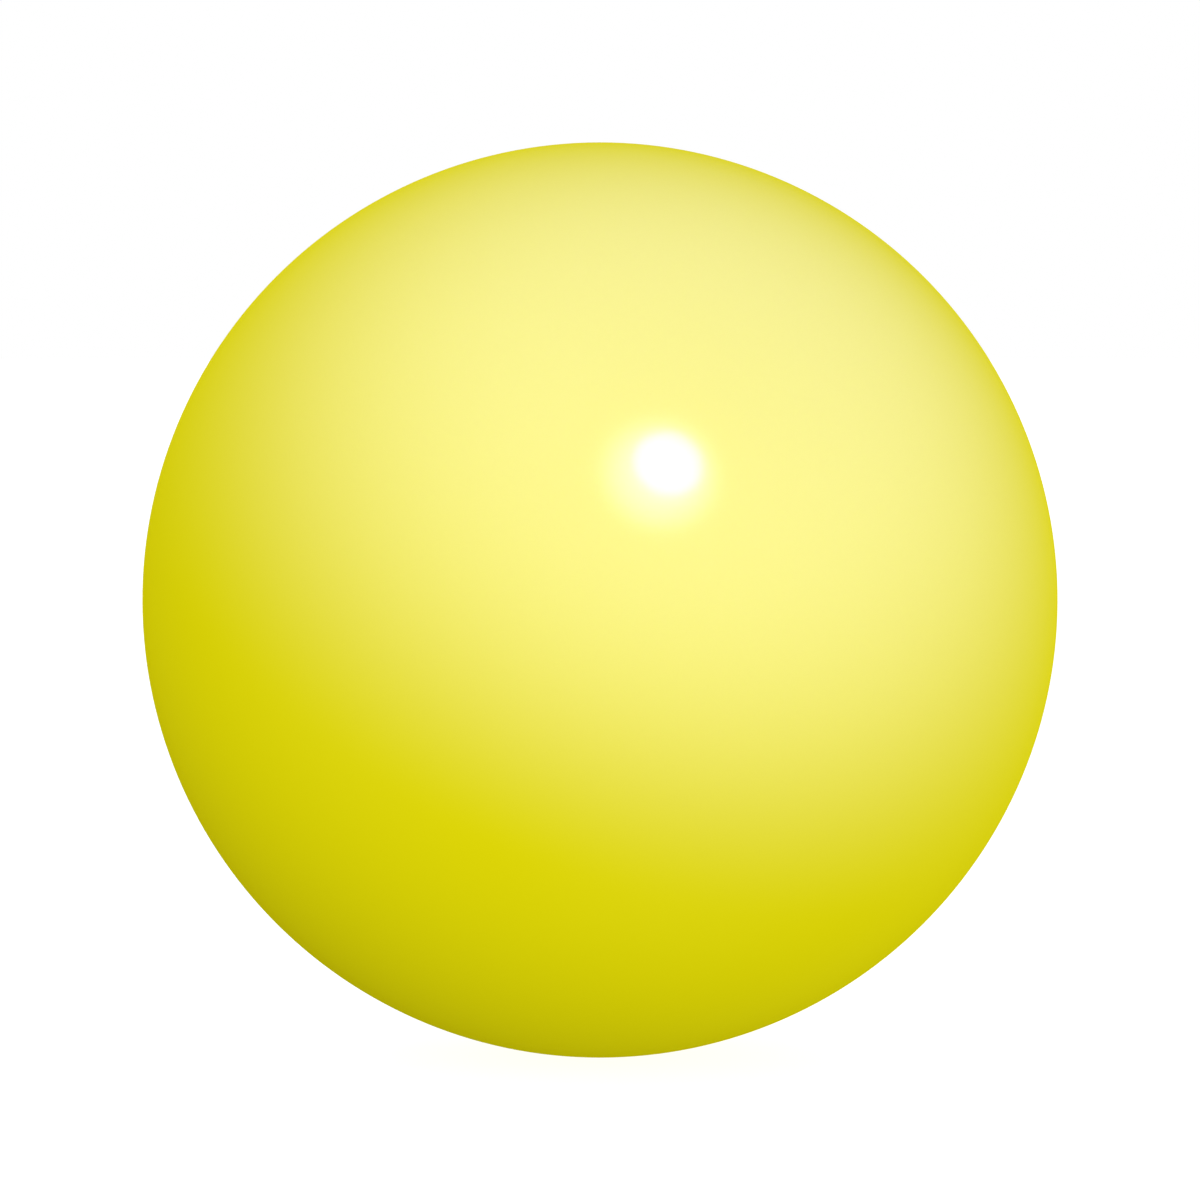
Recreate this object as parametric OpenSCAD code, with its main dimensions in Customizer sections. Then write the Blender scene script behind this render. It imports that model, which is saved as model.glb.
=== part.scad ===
// Rhythmic gymnastics ball, inflated, with its needle valve and plug.
// The origin is the centre of the ball, +Z is up and the valve faces +Y.

/* [Ball] */
// Outer diameter of the inflated ball
ball_d = 185; // [180:1:200]
// Thickness of the coloured cover
cover_wall = 1.7; // [1.2:0.1:2.6]
// Length of the back half's lip, which the front half lies over at the equator
lap_length = 5; // [3:0.5:10]
// Thickness of the airtight bladder
bladder_wall = 1.6; // [1:0.1:2.4]
// Cement line between pieces that are bonded together
bond_gap = 0.1; // [0.05:0.05:0.2]

/* [Valve housing] */
// Diameter of the neck where it comes out at the ball's surface
neck_d = 12; // [11.5:0.5:16]
// Draft of the neck in degrees: it widens inwards, so pressure can't push it out
neck_draft = 4; // [2:1:8]
// Diameter of the flange bonded inside
flange_d = 30; // [22:1:40]
// Thickness of the flange
flange_wall = 1.3; // [0.8:0.1:2]
// Diameter of the boss that holds the core
boss_d = 13; // [11:0.5:18]
// Diameter of the reinforcing patch round the neck
patch_d = 46; // [30:1:60]
// Thickness of the reinforcing patch
patch_wall = 0.9; // [0.6:0.1:1.4]
// Draft of the plug's bore in degrees: it widens towards the mouth
bore_draft = 1; // [0.5:0.5:2]
// Diameter of the notch that lets a fingernail under the plug's head
notch_d = 2.4; // [1.6:0.1:2.8]

/* [Valve core] */
// Diameter of the core's shaft
core_d = 6.2; // [5.4:0.1:7.6]
// Length of the shaft in its pocket
core_length = 9; // [6:0.5:12]
// Diameter of the inflating needle that the core seals round
needle_d = 2; // [1.6:0.1:2.4]
// Diameter of the lead-in at the mouth of the needle channel
lead_d = 3.4; // [2.6:0.1:4]
// Depth of the lead-in
lead_depth = 0.8; // [0.4:0.1:1.5]
// Diameter of the foot that air pressure holds against the boss
foot_d = 9.6; // [8.6:0.1:10.8]
// Thickness of the foot
foot_wall = 1.2; // [0.8:0.1:2]
// Length of the two sealing lips
lips_length = 5.5; // [4:0.5:8]
// Thickness of the pair of lips where they leave the foot
lips_root = 5; // [3.6:0.1:5.4]
// Thickness of the pair of lips at their tip
lips_tip = 1.2; // [0.8:0.1:2]
// How far the needle channel runs on into the lips
channel_run = 0.5; // [0.3:0.1:1]
// Width of the slit between the lips, drawn slightly open
slit_wall = 0.2; // [0.1:0.05:0.4]
// Length of the slit across the lips
slit_length = 4.2; // [3:0.1:4.8]

/* [Plug] */
// Diameter of the plug's head
head_d = 7.2; // [6:0.1:7.6]
// Thickness of the head on its axis
head_wall = 1.4; // [1:0.1:2]
// Diameter of the stem between the ribs
stem_d = 3; // [2.4:0.1:3.4]
// Diameter of the sealing ribs
rib_d = 4.2; // [3.8:0.1:4.8]
// Height of one rib
rib_height = 1.2; // [0.8:0.1:1.5]
// Distance from one rib to the next
rib_pitch = 1.8; // [1.6:0.1:2.1]
// Number of ribs
rib_count = 3; // [1:1:3]
// Length of the stem below the head
stem_length = 7; // [6.6:0.1:9]
// Diameter of the blunt tip
tip_d = 2; // [1.2:0.1:2.4]
// Length of the taper behind the tip
tip_taper = 0.8; // [0.4:0.1:1]
// Clearance round the plug
plug_gap = 0.15; // [0.1:0.05:0.25]

/* [Balance patch] */
// Diameter of the counterweight disc opposite the valve
balance_d = 50; // [30:1:70]
// Thickness of the counterweight disc
balance_wall = 2; // [1:0.1:3]

/* [Hidden] */
$fn = 96;
// Overshoot of a cut past the surface that it leaves by
over = 1;
// Lemon yellow of the cover, and the deeper yellow of the valve's housing
cover_yellow = [0.94, 0.91, 0.2];
housing_yellow = [0.84, 0.76, 0.18];

// Radii of the layers, from the outside in
ball_r = ball_d / 2;
lap_r = ball_r - cover_wall / 2;
bladder_r = ball_r - cover_wall - bond_gap;
lining_r = bladder_r - bladder_wall - bond_gap;
flange_r = lining_r - patch_wall - bond_gap;

// Heights along the valve's axis, from the ball's centre
flange_mid_z = sqrt(pow(flange_r - flange_wall / 2, 2) - pow(boss_d / 2, 2));
recess_z = ball_r - head_wall - plug_gap;
head_z = ball_r - head_wall;
tip_z = head_z - stem_length;
shoulder_z = tip_z - plug_gap;
core_top_z = shoulder_z - bond_gap;
boss_end_z = core_top_z - core_length;
foot_top_z = boss_end_z - bond_gap;
foot_end_z = foot_top_z - foot_wall;
lips_end_z = foot_end_z - lips_length;
channel_end_z = foot_end_z - channel_run;

// Fits that follow from the pieces inside them
recess_d = head_d + 2 * plug_gap;
plug_bore_d = rib_d + 2 * plug_gap;
plug_bore_mouth_d = plug_bore_d + 2 * (recess_z - shoulder_z) * tan(bore_draft);
pocket_d = core_d + 2 * bond_gap;

// Radius of the neck at a height along the valve's axis
function neck_r(z) = neck_d / 2 + (ball_r - z) * tan(neck_draft);

// Every piece is drawn with the valve's axis along +Z and then turned to face +Y
module to_valve_side() {
    rotate([-90, 0, 0]) children();
}

module to_far_side() {
    rotate([90, 0, 0]) children();
}

module space_above(z) {
    translate([-ball_d, -ball_d, z]) cube(2 * ball_d);
}

module space_below(z) {
    translate([-ball_d, -ball_d, z - 2 * ball_d]) cube(2 * ball_d);
}

// Hollow sphere
module spherical_wall(outer_r, wall) {
    difference() {
        sphere(outer_r);
        sphere(outer_r - wall);
    }
}

// Round patch cut out of a hollow sphere, at the pole on +Z
module wall_disc(outer_r, wall, d) {
    intersection() {
        spherical_wall(outer_r, wall);
        cylinder(d = d, h = outer_r + over);
    }
}

// Round cut along the valve's axis, from z out through the surface
module bore_from(z, d) {
    translate([0, 0, z]) cylinder(d = d, h = ball_r + over - z);
}

// Hole through the wall that the neck is bonded into
module neck_hole() {
    top_z = ball_r + over;
    translate([0, 0, flange_mid_z]) cylinder(
        h = top_z - flange_mid_z,
        r1 = neck_r(flange_mid_z) + bond_gap,
        r2 = neck_r(top_z) + bond_gap
    );
}

module cover_front() {
    color(cover_yellow) to_valve_side() difference() {
        spherical_wall(ball_r, cover_wall);
        space_above(-bond_gap / 2);
        // Rebate that takes the back half's lip
        intersection() {
            sphere(lap_r + bond_gap / 2);
            space_above(-lap_length);
        }
    }
}

module cover_back() {
    color(cover_yellow) to_valve_side() difference() {
        spherical_wall(ball_r, cover_wall);
        space_below(bond_gap - lap_length);
        // Outer half of the wall, where the front half lies over the lip
        difference() {
            space_below(bond_gap / 2);
            sphere(lap_r - bond_gap / 2);
        }
        neck_hole();
    }
}

module inner_bladder() {
    color("tan") to_valve_side() difference() {
        spherical_wall(bladder_r, bladder_wall);
        neck_hole();
    }
}

module valve_patch() {
    color("peru") to_valve_side() difference() {
        wall_disc(lining_r, patch_wall, patch_d);
        neck_hole();
    }
}

// Neck and boss with their stepped bore, as one turned section
module housing_barrel() {
    rotate_extrude() polygon([
        [pocket_d / 2, boss_end_z],
        [boss_d / 2, boss_end_z],
        [boss_d / 2, flange_mid_z],
        [neck_r(flange_mid_z), flange_mid_z],
        [neck_r(ball_r + over), ball_r + over],
        [recess_d / 2, ball_r + over],
        [recess_d / 2, recess_z],
        [plug_bore_mouth_d / 2, recess_z],
        [plug_bore_d / 2, shoulder_z],
        [pocket_d / 2, shoulder_z],
    ]);
}

module valve_housing() {
    color(housing_yellow) to_valve_side() difference() {
        union() {
            // Neck finished flush with the ball
            intersection() {
                housing_barrel();
                sphere(ball_r);
            }
            difference() {
                wall_disc(flange_r, flange_wall, flange_d);
                bore_from(0, recess_d);
            }
        }
        translate([recess_d / 2, 0, 0]) bore_from(recess_z, notch_d);
    }
}

// Pair of lips that taper to a straight edge
module sealing_lips() {
    intersection() {
        translate([0, 0, lips_end_z]) cylinder(d = core_d, h = foot_top_z - lips_end_z);
        rotate([90, 0, 0]) translate([0, 0, -core_d]) linear_extrude(2 * core_d) polygon([
            [-lips_tip / 2, lips_end_z],
            [lips_tip / 2, lips_end_z],
            [lips_root / 2, foot_end_z],
            [lips_root / 2, foot_top_z],
            [-lips_root / 2, foot_top_z],
            [-lips_root / 2, foot_end_z],
        ]);
    }
}

module valve_core() {
    slit_height = lips_length + over;
    color("firebrick") to_valve_side() difference() {
        union() {
            translate([0, 0, foot_end_z]) cylinder(d = core_d, h = core_top_z - foot_end_z);
            translate([0, 0, foot_end_z]) cylinder(d = foot_d, h = foot_wall);
            sealing_lips();
        }
        bore_from(channel_end_z, needle_d);
        translate([0, 0, core_top_z - lead_depth]) cylinder(d1 = needle_d, d2 = lead_d, h = lead_depth);
        translate([-slit_wall / 2, -slit_length / 2, lips_end_z - over])
            cube([slit_wall, slit_length, slit_height]);
    }
}

module valve_plug() {
    color("white") to_valve_side() union() {
        // Head, finished flush with the ball
        intersection() {
            bore_from(head_z, head_d);
            sphere(ball_r);
        }
        translate([0, 0, tip_z + tip_taper])
            cylinder(d = stem_d, h = stem_length - tip_taper + head_wall / 2);
        translate([0, 0, tip_z]) cylinder(d1 = tip_d, d2 = stem_d, h = tip_taper);
        // Ribs that widen towards the head, so that they slip in and grip when pulled
        for (i = [0 : rib_count - 1])
            translate([0, 0, tip_z + tip_taper + i * rib_pitch])
                cylinder(d1 = stem_d, d2 = rib_d, h = rib_height);
    }
}

module balance_patch() {
    color("dimgray") to_far_side() wall_disc(lining_r, balance_wall, balance_d);
}

cover_front();
cover_back();
inner_bladder();
valve_patch();
valve_housing();
valve_core();
valve_plug();
balance_patch();
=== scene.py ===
"""Looks of an inflated rhythmic gymnastics ball, built round its CAD frame."""

import math

import bmesh
import bpy
from bpy.props import FloatProperty, FloatVectorProperty, IntProperty, PointerProperty
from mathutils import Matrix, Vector


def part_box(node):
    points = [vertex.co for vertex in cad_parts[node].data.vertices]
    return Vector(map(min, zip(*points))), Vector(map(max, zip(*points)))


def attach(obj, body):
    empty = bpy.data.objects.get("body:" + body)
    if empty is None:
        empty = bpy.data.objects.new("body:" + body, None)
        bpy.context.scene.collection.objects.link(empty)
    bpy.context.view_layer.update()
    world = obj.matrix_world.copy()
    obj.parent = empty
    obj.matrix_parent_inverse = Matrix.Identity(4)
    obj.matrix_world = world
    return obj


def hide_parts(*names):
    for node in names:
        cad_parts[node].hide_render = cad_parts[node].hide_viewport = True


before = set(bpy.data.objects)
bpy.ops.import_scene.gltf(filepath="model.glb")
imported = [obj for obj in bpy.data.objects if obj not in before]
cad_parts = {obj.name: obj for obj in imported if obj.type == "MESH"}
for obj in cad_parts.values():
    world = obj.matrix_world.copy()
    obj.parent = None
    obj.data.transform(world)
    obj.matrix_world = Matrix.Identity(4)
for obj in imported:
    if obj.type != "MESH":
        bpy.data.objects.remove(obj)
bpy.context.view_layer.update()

bl_info = {
    "name": "Rhythmic gymnastics ball",
    "version": (1, 0, 0),
    "blender": (4, 5, 0),
    "location": "3D View > Sidebar > Ball",
    "description": "Dresses the frame of an inflated ball: lacquered cover, valve, plug and studio",
    "category": "Object",
}

MM = 0.001
WHITE = (1.0, 1.0, 1.0, 1.0)

# Sizes that the frame gives
BALL_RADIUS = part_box("cover_front")[1].x
PLUG_HEAD_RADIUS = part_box("valve_plug")[1].x
PLUG_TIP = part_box("valve_plug")[0].y
BOSS_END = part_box("valve_housing")[0].y
FLANGE_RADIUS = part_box("valve_housing")[1].x

# Radius of the ball in the photograph and the photograph's side, in its pixels
BALL_IN_PHOTO = 457.7
PHOTO_SIDE = 1200

# How a profile becomes a mesh: the tree that does it, the radius of the circle that the profile is swept
# along, the distance at which points become one and the angle from which an edge is sharp
TURNED_TREE = "Turned piece"
SWEEP_RADIUS = 10 * MM
MERGE_DISTANCE = 0.001 * MM
SHARP_ANGLE = math.radians(40)

# Ways from the ball's centre to the lights
LEFT_SIDE = (-0.7, -0.64, 0.32)
RIGHT_SIDE = (0.71, -0.62, -0.34)
BACK_SIDE = (0.22, 0.87, 0.44)
SHEEN_SIDE = (0.357, -0.482, 0.8)
HALO_SIDE = (0.24, -0.797, 0.545)
KEY_LAMP = (0.267, -0.775, 0.574)

# Steps round the floor's edge, and the width of the camera's sensor in millimetres
FLOOR_SEGMENTS = 64
SENSOR_WIDTH = 36.0


def length(name, description, default):
    """A size in metres that the sidebar shows."""
    return FloatProperty(
        name=name,
        description=description,
        default=default,
        min=0.0,
        precision=5,
        subtype="DISTANCE",
        unit="LENGTH",
    )


def count(name, description, default, lowest, highest):
    """A whole number that the sidebar shows."""
    return IntProperty(name=name, description=description, default=default, min=lowest, max=highest)


def colour(name, description, default):
    """A linear colour that the sidebar shows."""
    return FloatVectorProperty(
        name=name, description=description, default=default, size=3, min=0.0, max=1.0, subtype="COLOR"
    )


def level(name, description, default, highest=1.0):
    """A plain number that the sidebar shows as a slider."""
    return FloatProperty(
        name=name, description=description, default=default, min=0.0, max=highest, precision=3
    )


def bearing(name, description, degrees):
    """An angle that the sidebar shows in degrees."""
    return FloatProperty(
        name=name, description=description, default=math.radians(degrees), subtype="ANGLE", unit="ROTATION"
    )


class CoverSizes(bpy.types.PropertyGroup):
    """Sizes of the two bonded halves of the cover."""

    radius: length("Radius", "Outer radius of the inflated ball", BALL_RADIUS)
    wall: length("Wall", "Thickness of the cover", 1.7 * MM)
    lap: length("Lap", "Length of the back half's lip under the front half", 5 * MM)
    cement: length("Cement line", "Gap between bonded pieces", 0.1 * MM)
    edge: length("Edge", "Rounding of the edges that meet at the joint", 0.15 * MM)
    segments: count("Segments", "Steps round the valve's axis", 240, 24, 512)
    rings: count("Rings", "Steps from the pole to the joint, outside", 90, 12, 180)
    inner_rings: count("Inner rings", "Steps from the pole to the joint, inside", 30, 4, 60)
    lap_rings: count("Lap rings", "Steps along the lap", 4, 1, 12)


class ValveSizes(bpy.types.PropertyGroup):
    """Sizes of the valve's housing and of its plug. A height is measured from the ball's centre."""

    neck: length("Neck", "Radius of the neck at the ball's surface", 6 * MM)
    neck_draft: bearing("Neck draft", "Angle by which the neck widens inwards", 4)
    neck_root: length("Neck root", "Radius of the neck where it leaves the flange", 6.45 * MM)
    neck_edge: length("Neck edge", "Rounding of the neck's rim at the surface", 0.12 * MM)
    land_outer: length("Land, outside", "Outer radius of the plain land round the mouth", 5.85 * MM)
    land_inner: length("Land, inside", "Inner radius of that land", 5.45 * MM)
    flange: length("Flange", "Radius of the flange bonded inside", FLANGE_RADIUS)
    flange_outer: length("Flange top", "Radius from the ball's centre to the flange's outer side", 88 * MM)
    flange_wall: length("Flange wall", "Thickness of the flange", 1.3 * MM)
    boss: length("Boss", "Radius of the boss that holds the core", 6.5 * MM)
    boss_end: length("Boss end", "Height of the boss's inner end", BOSS_END)
    boss_edge: length("Boss edge", "Chamfer at the boss's inner end", 0.3 * MM)
    pocket: length("Pocket", "Radius of the core's pocket", 3.2 * MM)
    shoulder: length("Shoulder", "Height of the pocket's outer end", 83.95 * MM)
    bore: length("Plug bore", "Radius of the plug's bore at the shoulder", 2.25 * MM)
    bore_draft: bearing("Bore draft", "Angle by which the plug's bore widens towards the mouth", 1)
    bore_edge: length("Bore edge", "Rounding of the bore's mouth", 0.15 * MM)
    recess: length("Recess", "Radius of the recess round the plug's head", 3.75 * MM)
    recess_floor: length("Recess floor", "Height of the recess's floor", 90.95 * MM)
    recess_corner: length("Recess corner", "Rounding between the recess's floor and its wall", 0.1 * MM)
    lip: length("Lip", "Rounding of the recess's mouth", 0.22 * MM)
    notch: length("Notch", "Radius of the notch for a fingernail", 1.2 * MM)
    head: length("Head", "Radius of the plug's head", PLUG_HEAD_RADIUS)
    head_under: length("Head underside", "Height of the underside of the plug's head", 91.1 * MM)
    head_edge: length("Head edge", "Rounding of the head's rim", 0.3 * MM)
    under_edge: length("Underside edge", "Rounding of the edge of the head's underside", 0.15 * MM)
    dimple: length("Dimple", "Radius of the moulding mark in the head", 0.7 * MM)
    dimple_depth: length("Dimple depth", "Depth of the moulding mark", 0.14 * MM)
    tip: length("Tip", "Height of the plug's tip", PLUG_TIP)
    tip_radius: length("Tip radius", "Radius of the blunt tip", 1 * MM)
    tip_taper: length("Tip taper", "Length of the taper behind the tip", 0.8 * MM)
    tip_edge: length("Tip edge", "Rounding of the blunt tip", 0.25 * MM)
    stem: length("Stem", "Radius of the stem between the ribs", 1.5 * MM)
    stem_root: length("Stem root", "Rounding between the stem and the head", 0.25 * MM)
    rib: length("Rib", "Radius of a sealing rib", 2.1 * MM)
    rib_height: length("Rib height", "Height of a sealing rib", 1.2 * MM)
    rib_pitch: length("Rib pitch", "Distance from one rib to the next", 1.8 * MM)
    rib_edge: length("Rib edge", "Rounding of a rib's crest", 0.12 * MM)
    rib_root: length("Rib root", "Rounding between a rib and the stem", 0.1 * MM)
    rib_count: count("Ribs", "Number of sealing ribs", 3, 1, 3)
    plug_segments: count("Plug segments", "Steps round the plug", 96, 24, 256)


class BallColours(bpy.types.PropertyGroup):
    """Colours of the finishes."""

    cover: colour("Cover", "Yellow of the lacquered cover", (0.91, 0.832, 0.003))
    cover_deep: colour("Cover, deep", "Yellow where the pigment lies a little thicker", (0.9, 0.822, 0.002))
    housing: colour("Housing", "Deeper yellow of the valve's housing", (0.74, 0.60, 0.03))
    plug: colour("Plug", "White of the plug", (0.80, 0.80, 0.76))
    core: colour("Core", "Red of the self-sealing core", (0.35, 0.03, 0.02))
    bladder: colour("Bladder", "Tan of the airtight bladder", (0.50, 0.36, 0.20))
    patch: colour("Patch", "Brown of the reinforcing patch", (0.22, 0.12, 0.06))
    weight: colour("Weight", "Black of the counterweight", (0.06, 0.06, 0.06))


class StudioSettings(bpy.types.PropertyGroup):
    """Camera, floor and lights."""

    distance: length("Distance", "From the camera to the ball's centre", 1.2)
    elevation: bearing("Elevation", "Height of the camera above the horizon", 3)
    ball_share: level(
        "Ball share", "Radius of the ball in the picture, as a share of its side", BALL_IN_PHOTO / PHOTO_SIDE
    )
    floor_radius: length("Floor", "Radius of the white floor", 12.0)
    floor_glow: level("Floor glow", "Brightness that the floor has of its own", 0.9)
    floor_shade: level("Floor shade", "Grey of the floor's lit part, which takes the shadow", 0.38)
    ambient: level("Ambient", "Light from all round", 0.02, 2.0)
    left: level("Left", "Brightness of the soft light from the front and left", 1.11, 5.0)
    right: level("Right", "Brightness of the soft light from the front and right, and from below", 1.1, 5.0)
    back: level("Back", "Brightness of the soft light from behind and above", 1.35, 5.0)
    soft_edge: bearing("Soft edge", "Angle off its middle where a soft light ends", 80)
    sheen: level("Sheen", "Brightest part of the wide soft glow that the lacquer mirrors", 8.4, 20.0)
    sheen_edge: bearing("Sheen edge", "Angle off its middle where that glow ends", 129)
    sheen_full: bearing("Sheen full", "Angle off its middle where that glow begins to fade", 5)
    cool: colour("Cool white", "Cool white of that glow and of the halo", (0.65, 0.67, 1.0))
    halo: level("Halo", "Brightness of the diffuser round the key lamp, as the lacquer mirrors it", 9.5, 20.0)
    halo_edge: bearing("Halo edge", "Angle off its middle where the diffuser ends", 16)
    key: level("Key", "Power of the small round lamp that is only mirrored", 5.2, 100.0)
    key_size: length("Key size", "Diameter of that lamp", 0.405)
    key_distance: length("Key distance", "From that lamp to the ball's centre", 1.5)


class Value:
    """A socket of a node tree that can stand in an expression."""

    def __init__(self, graph, socket):
        self.graph = graph
        self.socket = socket

    def __add__(self, other):
        return self.graph.math("ADD", self, other)

    def __radd__(self, other):
        return self.graph.math("ADD", other, self)

    def __sub__(self, other):
        return self.graph.math("SUBTRACT", self, other)

    def __rsub__(self, other):
        return self.graph.math("SUBTRACT", other, self)

    def __mul__(self, other):
        return self.graph.math("MULTIPLY", self, other)

    def __rmul__(self, other):
        return self.graph.math("MULTIPLY", other, self)

    def __truediv__(self, other):
        return self.graph.math("DIVIDE", self, other)

    def __rtruediv__(self, other):
        return self.graph.math("DIVIDE", other, self)

    def __gt__(self, other):
        return self.graph.math("GREATER_THAN", self, other)


class Graph:
    """Adds nodes to a tree and joins them up."""

    def __init__(self, tree):
        self.tree = tree

    def add(self, kind, settings=None, inputs=None, output=0):
        """One node of any kind: its settings first, then the values or links of its sockets."""
        node = self.tree.nodes.new(kind)
        for name, value in (settings or {}).items():
            setattr(node, name, value)
        for name, value in (inputs or {}).items():
            if isinstance(value, Value):
                self.tree.links.new(value.socket, node.inputs[name])
            else:
                node.inputs[name].default_value = value
        return Value(self, node.outputs[output]) if node.outputs else node

    def math(self, operation, first, second=0.0):
        """A Math node on one or two values."""
        return self.add("ShaderNodeMath", {"operation": operation}, {0: first, 1: second})

    def mix_colours(self, factor, first, second):
        """A Mix node on two colours."""
        return self.add("ShaderNodeMix", {"data_type": "RGBA"}, {0: factor, 6: first, 7: second}, 2)


def opaque(shade):
    """A colour with full alpha."""
    return (*shade, 1.0)


def turned_tree():
    """A tree that sweeps a profile round the valve's axis and pushes weighted points out to a round notch."""
    tree = bpy.data.node_groups.new(TURNED_TREE, "GeometryNodeTree")
    tree.is_modifier = True
    inputs = {
        "Profile": "NodeSocketGeometry",
        "Segments": "NodeSocketInt",
        "Path Radius": "NodeSocketFloat",
        "Recess Radius": "NodeSocketFloat",
        "Notch Radius": "NodeSocketFloat",
        "Finish": "NodeSocketMaterial",
    }
    for name, kind in inputs.items():
        tree.interface.new_socket(name, in_out="INPUT", socket_type=kind)
    tree.interface.new_socket("Piece", in_out="OUTPUT", socket_type="NodeSocketGeometry")

    g = Graph(tree)
    entry = tree.nodes.new("NodeGroupInput")
    given = {name: Value(g, entry.outputs[name]) for name in inputs}
    path = g.add(
        "GeometryNodeCurvePrimitiveCircle",
        {"mode": "RADIUS"},
        {"Resolution": given["Segments"], "Radius": given["Path Radius"]},
    )
    path = g.add("GeometryNodeSetCurveNormal", {"mode": "Z_UP"}, {"Curve": path})
    profile = g.add("GeometryNodeMeshToCurve", {}, {"Mesh": given["Profile"]})
    swept = g.add("GeometryNodeCurveToMesh", {}, {"Curve": path, "Profile Curve": profile})

    # Round notch at the side of the recess, centred on the recess's wall
    place = g.add("GeometryNodeInputPosition")
    x = g.add("ShaderNodeSeparateXYZ", {}, {0: place})
    y = Value(g, x.socket.node.outputs[1])
    r = g.math("SQRT", x * x + y * y)
    across = given["Recess Radius"] * (y / r)
    along = given["Recess Radius"] * (x / r)
    room = given["Notch Radius"] * given["Notch Radius"] - across * across
    reach = along + g.math("SQRT", g.math("MAXIMUM", room, 0.0)) - given["Recess Radius"]
    weight = g.add("GeometryNodeInputNamedAttribute", {"data_type": "FLOAT"}, {"Name": "notch"})
    push = g.math("MAXIMUM", reach, 0.0) * (room > 0.0) * (along > 0.0) * weight
    shift = g.add("ShaderNodeCombineXYZ", {}, {0: push * (x / r), 1: push * (y / r)})
    swept = g.add("GeometryNodeSetPosition", {}, {"Geometry": swept, "Offset": shift})

    swept = g.add("GeometryNodeMergeByDistance", {}, {"Geometry": swept, "Distance": MERGE_DISTANCE})
    to_valve_side = (-math.pi / 2, 0.0, 0.0)
    turned = g.add("GeometryNodeTransform", {}, {"Geometry": swept, "Rotation": to_valve_side})
    smooth = g.add("GeometryNodeSetShadeSmooth", {}, {0: turned, "Shade Smooth": True})
    whole = g.add("GeometryNodeRealizeInstances", {}, {0: smooth})
    done = g.add("GeometryNodeSetMaterial", {}, {"Geometry": whole, "Material": given["Finish"]})
    leave = tree.nodes.new("NodeGroupOutput")
    tree.links.new(done.socket, leave.inputs[0])
    return tree


def profile_mesh(name, points, closed):
    """A chain of (radius, height) points. A point's third number, if it has one, is its notch weight."""
    mesh = bpy.data.meshes.new(name)
    last = len(points) - 1
    edges = [(i, i + 1) for i in range(last)]
    if closed:
        edges.append((last, 0))
    mesh.from_pydata([(p[0] - SWEEP_RADIUS, -p[1], 0.0) for p in points], edges, [])
    weights = mesh.attributes.new("notch", "FLOAT", "POINT")
    for i, p in enumerate(points):
        weights.data[i].value = p[2] if len(p) > 2 else 0.0
    return mesh


def face_outwards(mesh):
    """Turns the faces of a closed shell outwards."""
    shell = bmesh.new()
    shell.from_mesh(mesh)
    bmesh.ops.recalc_face_normals(shell, faces=shell.faces)
    shell.to_mesh(mesh)
    shell.free()


def turned_piece(name, points, finish, segments, closed=False, recess=0.0, notch=0.0):
    """A piece turned round the valve's axis, with a notch at the side of its recess if it has one."""
    tree = bpy.data.node_groups.get(TURNED_TREE) or turned_tree()
    profile = profile_mesh(name + "_profile", points, closed)
    piece = bpy.data.objects.new(name, profile)
    bpy.context.scene.collection.objects.link(piece)
    modifier = piece.modifiers.new(TURNED_TREE, "NODES")
    modifier.node_group = tree
    given = {
        "Segments": segments,
        "Path Radius": SWEEP_RADIUS,
        "Recess Radius": recess,
        "Notch Radius": notch,
        "Finish": finish,
    }
    for item in tree.interface.items_tree:
        if item.name in given:
            modifier[item.identifier] = given[item.name]
    evaluated = piece.evaluated_get(bpy.context.evaluated_depsgraph_get())
    mesh = bpy.data.meshes.new_from_object(evaluated)
    if len(mesh.polygons) < segments:
        raise RuntimeError(f"{name} came out with {len(mesh.polygons)} faces")
    piece.modifiers.clear()
    piece.data = mesh
    mesh.name = name
    bpy.data.meshes.remove(profile)
    face_outwards(mesh)
    mesh.set_sharp_from_angle(angle=SHARP_ANGLE)
    return piece


def angle_at_height(radius, height):
    """Angle off the valve's axis at which a sphere has that height."""
    return math.acos(height / radius)


def angle_at_radius(radius, across):
    """Angle off the valve's axis at which a sphere is that far from it."""
    return math.asin(across / radius)


def arc(radius, start, end, steps):
    """Points of a sphere's section, from one angle off the valve's axis to another."""
    turn = [start + (end - start) * i / steps for i in range(steps + 1)]
    return [(radius * math.sin(a), radius * math.cos(a)) for a in turn]


def cap(radius, start, end, steps):
    """Points of a sphere's section, from one distance off the valve's axis to another."""
    return arc(radius, angle_at_radius(radius, start), angle_at_radius(radius, end), steps)


def band(radius, start, end, steps):
    """Points of a sphere's section, from one height on the valve's axis to another."""
    return arc(radius, angle_at_height(radius, start), angle_at_height(radius, end), steps)


def fillet(before, corner, after, size, steps=4):
    """Points that round a corner of a profile."""
    corner = Vector(corner)
    start = corner + (Vector(before) - corner).normalized() * size
    end = corner + (Vector(after) - corner).normalized() * size
    points = []
    for i in range(steps + 1):
        t = i / steps
        p = start * (1 - t) ** 2 + corner * (2 * t * (1 - t)) + end * t**2
        points.append((p.x, p.y))
    return points


def notched(points):
    """The same points with the full weight of the notch."""
    return [(radius, height, 1.0) for radius, height in points]


def neck_radius(cover, valve, height):
    """Radius of the valve's neck at a height on its axis."""
    return valve.neck + (cover.radius - height) * math.tan(valve.neck_draft)


def surface_material(name):
    """A new material with its graph and the piece's own coordinates."""
    material = bpy.data.materials.new(name)
    material.use_nodes = True
    material.node_tree.nodes.clear()
    g = Graph(material.node_tree)
    place = Value(g, g.tree.nodes.new("ShaderNodeTexCoord").outputs["Object"])
    return material, g, place


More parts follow.
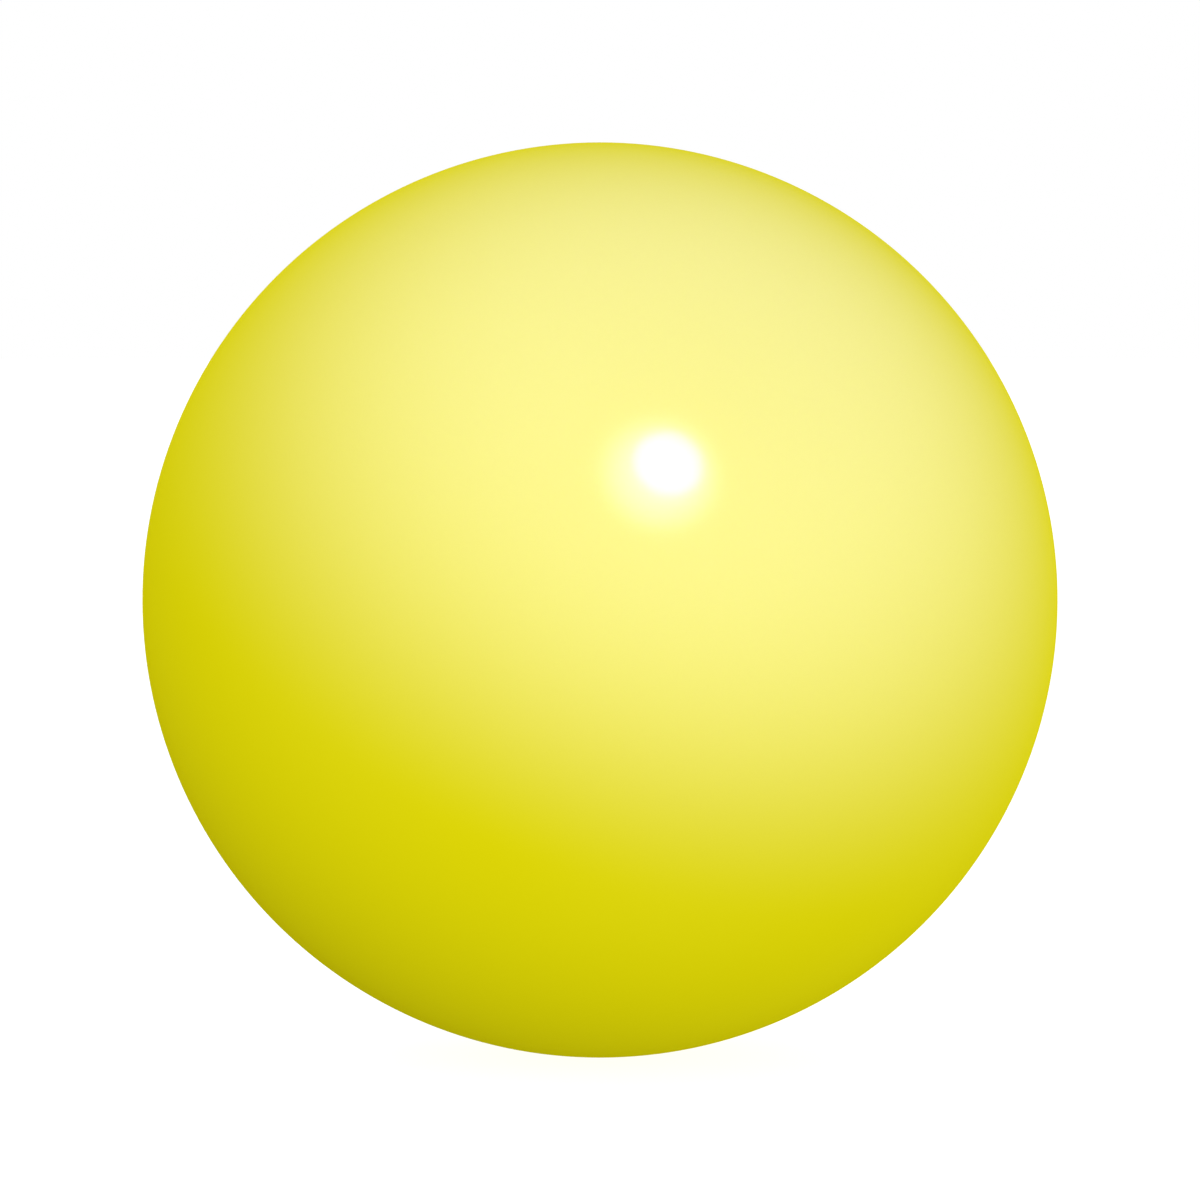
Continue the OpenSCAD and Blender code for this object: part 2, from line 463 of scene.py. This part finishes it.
def finish_surface(material, g, sockets):
    """Ends a material in one Principled shader."""
    shader = g.add("ShaderNodeBsdfPrincipled", {}, sockets)
    g.add("ShaderNodeOutputMaterial", {}, {"Surface": shader})
    return material


def noise(g, place, scale, detail=2.0, roughness=0.5):
    """Soft noise from 0 to 1 on the piece's own coordinates."""
    return g.add(
        "ShaderNodeTexNoise", {}, {"Vector": place, "Scale": scale, "Detail": detail, "Roughness": roughness}
    )


def relief(g, height, strength, depth):
    """Fine relief for a shader's normal."""
    return g.add("ShaderNodeBump", {}, {"Strength": strength, "Distance": depth, "Height": height})


def lacquered_cover(colours):
    """Yellow rubber under a clear gloss lacquer, with faint clouds of pigment and a trace of orange peel."""
    material, g, place = surface_material("lacquered_yellow_rubber")
    clouds = noise(g, place, scale=14.0, detail=3.0)
    orange_peel = noise(g, place, scale=900.0)
    # Gloss that stays as it is head on, so that the rim keeps its deep yellow
    lacquer_ior = 1.5
    head_on = ((lacquer_ior - 1) / (lacquer_ior + 1)) ** 2
    even_gloss = head_on / g.add("ShaderNodeFresnel", {}, {"IOR": lacquer_ior})
    return finish_surface(
        material,
        g,
        {
            "Base Color": g.mix_colours(clouds, opaque(colours.cover_deep), opaque(colours.cover)),
            "Roughness": 0.42 + 0.06 * clouds,
            "Specular IOR Level": 0.0,
            "Coat Weight": even_gloss,
            "Coat Roughness": 0.12,
            "Coat IOR": lacquer_ior,
            "Normal": relief(g, orange_peel, strength=0.15, depth=0.03 * MM),
        },
    )


def moulded_rubber(name, shade, roughness, grain_scale):
    """Satin or matt rubber with the grain that its mould leaves."""
    material, g, place = surface_material(name)
    clouds = noise(g, place, scale=120.0, detail=3.0)
    grain = noise(g, place, scale=grain_scale, detail=3.0, roughness=0.6)
    darker = tuple(0.82 * c for c in shade)
    return finish_surface(
        material,
        g,
        {
            "Base Color": g.mix_colours(clouds, opaque(darker), opaque(shade)),
            "Roughness": roughness - 0.08 + 0.16 * grain,
            "Specular IOR Level": 0.35,
            "Normal": relief(g, grain, strength=0.25, depth=0.05 * MM),
        },
    )


def moulded_plastic(colours):
    """Soft white plastic, a little duller in patches where it has been handled."""
    material, g, place = surface_material("soft_white_plastic")
    handled = noise(g, place, scale=420.0, detail=4.0, roughness=0.6)
    grain = noise(g, place, scale=2500.0)
    duller = tuple(0.93 * c for c in colours.plug)
    return finish_surface(
        material,
        g,
        {
            "Base Color": g.mix_colours(handled, opaque(colours.plug), opaque(duller)),
            "Roughness": 0.34 + 0.2 * handled,
            "Specular IOR Level": 0.45,
            "Normal": relief(g, grain, strength=0.12, depth=0.03 * MM),
        },
    )


def hand_over(piece, node, body):
    """Puts a finished piece in the place of its CAD node."""
    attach(piece, body)
    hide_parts(node)


def dress(node, material):
    """Gives a CAD node that stays in view its finish."""
    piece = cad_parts[node]
    piece.data.materials.clear()
    piece.data.materials.append(material)


def aim_at_ball(item, way, distance):
    """Puts a lamp or the camera that far out from the ball's centre, turned towards it."""
    item.location = way * distance
    item.rotation_mode = "QUATERNION"
    item.rotation_quaternion = (-way).to_track_quat("-Z", "Y")


class BALL_OT_cover(bpy.types.Operator):
    """Builds both halves of the cover, which lap over each other at the equator"""

    bl_idname = "ball.cover"
    bl_label = "Build cover"

    def execute(self, context):
        s, v = context.scene.ball_cover, context.scene.ball_valve
        lacquer = lacquered_cover(context.scene.ball_colours)
        inside = s.radius - s.wall
        middle = s.radius - s.wall / 2
        half_gap = s.cement / 2

        # Front half, from the outer pole over the joint's edge to the inner pole
        outer = arc(s.radius, math.pi, angle_at_height(s.radius, -half_gap), s.rings)
        rebate = band(middle + half_gap, -half_gap, -s.lap, s.lap_rings)
        under = arc(inside, angle_at_height(inside, -s.lap), math.pi, s.inner_rings)
        front = outer[:-1] + fillet(outer[-2], outer[-1], rebate[0], s.edge) + rebate + under
        piece = turned_piece("lacquered_cover_front", front, lacquer, s.segments)
        hand_over(piece, "cover_front", "ball")

        # Back half, a ring round the valve's neck with a lip that goes under the front half
        def hole_angle(radius):
            height = radius * math.cos(v.neck / radius)
            return angle_at_radius(radius, neck_radius(s, v, height) + s.cement)

        lip_end = s.cement - s.lap
        outer = arc(s.radius, hole_angle(s.radius), angle_at_height(s.radius, half_gap), s.rings)
        lip = band(middle - half_gap, half_gap, lip_end, s.lap_rings)
        under = arc(inside, angle_at_height(inside, lip_end), hole_angle(inside), s.inner_rings)
        back = fillet(under[-1], outer[0], outer[1], s.edge) + outer[1:-1]
        back += fillet(outer[-2], outer[-1], lip[0], s.edge) + lip + under
        piece = turned_piece("lacquered_cover_back", back, lacquer, s.segments, closed=True)
        hand_over(piece, "cover_back", "ball")
        return {"FINISHED"}


class BALL_OT_valve_housing(bpy.types.Operator):
    """Builds the valve's housing: neck, flange and boss with their stepped bore"""

    bl_idname = "ball.valve_housing"
    bl_label = "Build valve housing"

    def execute(self, context):
        s, v = context.scene.ball_cover, context.scene.ball_valve
        housing_yellow = context.scene.ball_colours.housing
        rubber = moulded_rubber("deep_yellow_rubber", housing_yellow, roughness=0.45, grain_scale=1600.0)

        flange_inner = v.flange_outer - v.flange_wall
        under = cap(flange_inner, v.boss, v.flange, steps=6)
        over = cap(v.flange_outer, v.flange, v.neck_root, steps=6)
        rim_height = s.radius * math.cos(v.neck / s.radius)
        rim = (neck_radius(s, v, rim_height), rim_height)
        land = cap(s.radius, v.land_outer, v.land_inner, steps=2)
        mouth = (v.recess, math.sqrt(s.radius**2 - v.recess**2))
        floor = (v.recess, v.recess_floor)
        bore_mouth = (v.bore + (v.recess_floor - v.shoulder) * math.tan(v.bore_draft), v.recess_floor)
        bore_end = (v.bore, v.shoulder)

        points = [(v.pocket, v.boss_end), (v.boss - v.boss_edge, v.boss_end)]
        points += [(v.boss, v.boss_end + v.boss_edge)] + under + over
        points += fillet(over[-1], rim, land[0], v.neck_edge) + land
        points += notched(fillet(land[-1], mouth, floor, v.lip, steps=6))
        points += notched(fillet(mouth, floor, bore_mouth, v.recess_corner, steps=2))
        points += fillet(floor, bore_mouth, bore_end, v.bore_edge, steps=3)
        points += [bore_end, (v.pocket, v.shoulder)]
        piece = turned_piece(
            "valve_neck_and_flange",
            points,
            rubber,
            s.segments,
            closed=True,
            recess=v.recess,
            notch=v.notch,
        )
        hand_over(piece, "valve_housing", "ball")
        return {"FINISHED"}


class BALL_OT_valve_plug(bpy.types.Operator):
    """Builds the push-in plug: domed head, ribbed stem and blunt tip"""

    bl_idname = "ball.valve_plug"
    bl_label = "Build plug"

    def execute(self, context):
        s, v = context.scene.ball_cover, context.scene.ball_valve
        plastic = moulded_plastic(context.scene.ball_colours)
        tip_middle = (0.0, v.tip)
        stem_start = (v.stem, v.tip + v.tip_taper)
        stem_end = (v.stem, v.head_under)
        under = (v.head, v.head_under)
        rim = (v.head, math.sqrt(s.radius**2 - v.head**2))
        dome = cap(s.radius, v.head, v.dimple, steps=10)

        points = [tip_middle] + fillet(tip_middle, (v.tip_radius, v.tip), stem_start, v.tip_edge)
        for i in range(v.rib_count):
            foot = (v.stem, stem_start[1] + i * v.rib_pitch)
            crest = (v.rib, foot[1] + v.rib_height)
            root = (v.stem, crest[1])
            points += [foot] + fillet(foot, crest, root, v.rib_edge, steps=3)
            points += fillet(crest, root, stem_end, v.rib_root, steps=2)
        points += fillet(stem_start, stem_end, under, v.stem_root, steps=3)
        points += fillet(stem_end, under, rim, v.under_edge, steps=3)
        points += fillet(under, rim, dome[1], v.head_edge, steps=6) + dome[2:]

        # Moulding mark in the middle of the head, by shares of its radius
        brim = dome[-1][1]
        for share in (0.92, 0.8, 0.6, 0.35, 0.0):
            depth = v.dimple_depth * (1 - share**2) * (1 - share**6)
            points.append((v.dimple * share, brim - depth))
        piece = turned_piece("ribbed_push_plug", points, plastic, v.plug_segments)
        hand_over(piece, "valve_plug", "plug")
        return {"FINISHED"}


class BALL_OT_inner_pieces(bpy.types.Operator):
    """Gives the bladder, the patches and the core their finishes"""

    bl_idname = "ball.inner_pieces"
    bl_label = "Finish inner pieces"

    def execute(self, context):
        c = context.scene.ball_colours
        bladder = moulded_rubber("natural_rubber", c.bladder, roughness=0.7, grain_scale=700.0)
        dress("inner_bladder", bladder)
        patch = moulded_rubber("calendered_rubber", c.patch, roughness=0.75, grain_scale=1200.0)
        dress("valve_patch", patch)
        weight = moulded_rubber("filled_black_rubber", c.weight, roughness=0.8, grain_scale=1500.0)
        dress("balance_patch", weight)
        core = moulded_rubber("soft_red_rubber", c.core, roughness=0.5, grain_scale=2500.0)
        dress("valve_core", core)
        return {"FINISHED"}


class BALL_OT_studio(bpy.types.Operator):
    """Sets up the white floor, the light from the surroundings, the key lamp and the camera"""

    bl_idname = "ball.studio"
    bl_label = "Set up studio"

    def floor(self, context, t, height):
        """A wide white floor under the ball, which can't be seen from below."""
        disc = bmesh.new()
        bmesh.ops.create_circle(disc, cap_ends=True, segments=FLOOR_SEGMENTS, radius=t.floor_radius)
        mesh = bpy.data.meshes.new("studio_floor")
        disc.to_mesh(mesh)
        disc.free()
        for v in mesh.vertices:
            v.co.z = height
        floor = bpy.data.objects.new("studio_floor", mesh)
        floor.visible_diffuse = floor.visible_glossy = floor.visible_shadow = False
        context.scene.collection.objects.link(floor)
        material = bpy.data.materials.new("white_studio_floor")
        material.use_nodes = True
        material.node_tree.nodes.clear()
        g = Graph(material.node_tree)
        grey = opaque((t.floor_shade, t.floor_shade, t.floor_shade))
        glow = g.add("ShaderNodeEmission", {}, {"Color": WHITE, "Strength": t.floor_glow})
        shade = g.add("ShaderNodeBsdfDiffuse", {}, {"Color": grey})
        white = g.add("ShaderNodeAddShader", {}, {0: glow, 1: shade})
        clear = g.add("ShaderNodeBsdfTransparent")
        below = Value(g, g.tree.nodes.new("ShaderNodeNewGeometry").outputs["Backfacing"])
        surface = g.add("ShaderNodeMixShader", {}, {0: below, 1: white, 2: clear})
        g.add("ShaderNodeOutputMaterial", {}, {"Surface": surface})
        mesh.materials.append(material)

    def surroundings(self, context, t):
        """Soft light from three sides, white where it is seen. Off the lacquer, a cool glow and a halo."""
        world = bpy.data.worlds.new("white_studio")
        world.use_nodes = True
        world.node_tree.nodes.clear()
        g = Graph(world.node_tree)
        rays = g.tree.nodes.new("ShaderNodeLightPath").outputs
        camera, glossy, through = (
            Value(g, rays[name]) for name in ("Is Camera Ray", "Is Glossy Ray", "Is Transmission Ray")
        )
        way = Value(g, g.tree.nodes.new("ShaderNodeTexCoord").outputs["Generated"])

        def glow(side, edge, full, strength):
            side = Vector(side).normalized()
            towards = g.add(
                "ShaderNodeVectorMath", {"operation": "DOT_PRODUCT"}, {0: way, 1: side}, "Value"
            )
            return g.add(
                "ShaderNodeMapRange",
                {"interpolation_type": "SMOOTHSTEP"},
                {
                    "Value": towards,
                    "From Min": math.cos(edge),
                    "From Max": math.cos(full),
                    "To Min": 0.0,
                    "To Max": strength,
                },
            )

        soft = t.ambient + glow(LEFT_SIDE, t.soft_edge, 0.0, t.left)
        soft = soft + glow(RIGHT_SIDE, t.soft_edge, 0.0, t.right)
        soft = soft + glow(BACK_SIDE, t.soft_edge, 0.0, t.back)
        mirrored = glow(SHEEN_SIDE, t.sheen_edge, t.sheen_full, t.sheen)
        mirrored = mirrored + glow(HALO_SIDE, t.halo_edge, 0.0, t.halo)
        seen = g.math("MAXIMUM", camera, through)
        strength = soft + seen * (1 - soft) + glossy * (mirrored - soft)
        tone = g.mix_colours(glossy, WHITE, opaque(t.cool))
        light = g.add("ShaderNodeBackground", {}, {"Color": tone, "Strength": strength})
        g.add("ShaderNodeOutputWorld", {}, {"Surface": light})
        context.scene.world = world

    def key_lamp(self, context, t):
        """A round lamp aimed at the ball, which the lacquer mirrors and which lights nothing else."""
        data = bpy.data.lights.new("round_key_lamp", "AREA")
        data.shape = "DISK"
        data.size = t.key_size
        data.energy = t.key
        lamp = bpy.data.objects.new("round_key_lamp", data)
        aim_at_ball(lamp, Vector(KEY_LAMP).normalized(), t.key_distance)
        lamp.visible_diffuse = lamp.visible_camera = False
        context.scene.collection.objects.link(lamp)

    def camera(self, context, t, ball_radius):
        """The photograph's view, with the ball as large in it."""
        data = bpy.data.cameras.new("studio_camera")
        apparent = math.tan(math.asin(ball_radius / t.distance))
        data.sensor_width = SENSOR_WIDTH
        data.lens = SENSOR_WIDTH * t.ball_share / apparent
        camera = bpy.data.objects.new("studio_camera", data)
        aim_at_ball(camera, Vector((0.0, -math.cos(t.elevation), math.sin(t.elevation))), t.distance)
        context.scene.collection.objects.link(camera)
        context.scene.camera = camera

    def execute(self, context):
        s, t = context.scene.ball_cover, context.scene.ball_studio
        self.floor(context, t, -s.radius)
        self.surroundings(context, t)
        self.key_lamp(context, t)
        self.camera(context, t, s.radius)
        context.scene.view_settings.view_transform = "Standard"
        return {"FINISHED"}


class BALL_PT_panel(bpy.types.Panel):
    """Lists the steps that build the ball, with their sizes and colours"""

    bl_label = "Gymnastics ball"
    bl_idname = "BALL_PT_panel"
    bl_space_type = "VIEW_3D"
    bl_region_type = "UI"
    bl_category = "Ball"

    def draw(self, context):
        for step in STEPS:
            self.layout.operator(step.bl_idname)
        for name, group in GROUPS.items():
            box = self.layout.box()
            for field in group.__annotations__:
                box.prop(getattr(context.scene, name), field)


GROUPS = {
    "ball_cover": CoverSizes,
    "ball_valve": ValveSizes,
    "ball_colours": BallColours,
    "ball_studio": StudioSettings,
}
STEPS = (BALL_OT_cover, BALL_OT_valve_housing, BALL_OT_valve_plug, BALL_OT_inner_pieces, BALL_OT_studio)


def register():
    for item in (*GROUPS.values(), *STEPS, BALL_PT_panel):
        bpy.utils.register_class(item)
    for name, group in GROUPS.items():
        setattr(bpy.types.Scene, name, PointerProperty(type=group))


def unregister():
    for name in GROUPS:
        delattr(bpy.types.Scene, name)
    for item in reversed((*GROUPS.values(), *STEPS, BALL_PT_panel)):
        bpy.utils.unregister_class(item)


def main():
    register()
    bpy.ops.ball.cover()
    bpy.ops.ball.valve_housing()
    bpy.ops.ball.valve_plug()
    bpy.ops.ball.inner_pieces()
    bpy.ops.ball.studio()


if __name__ == "__main__":
    main()
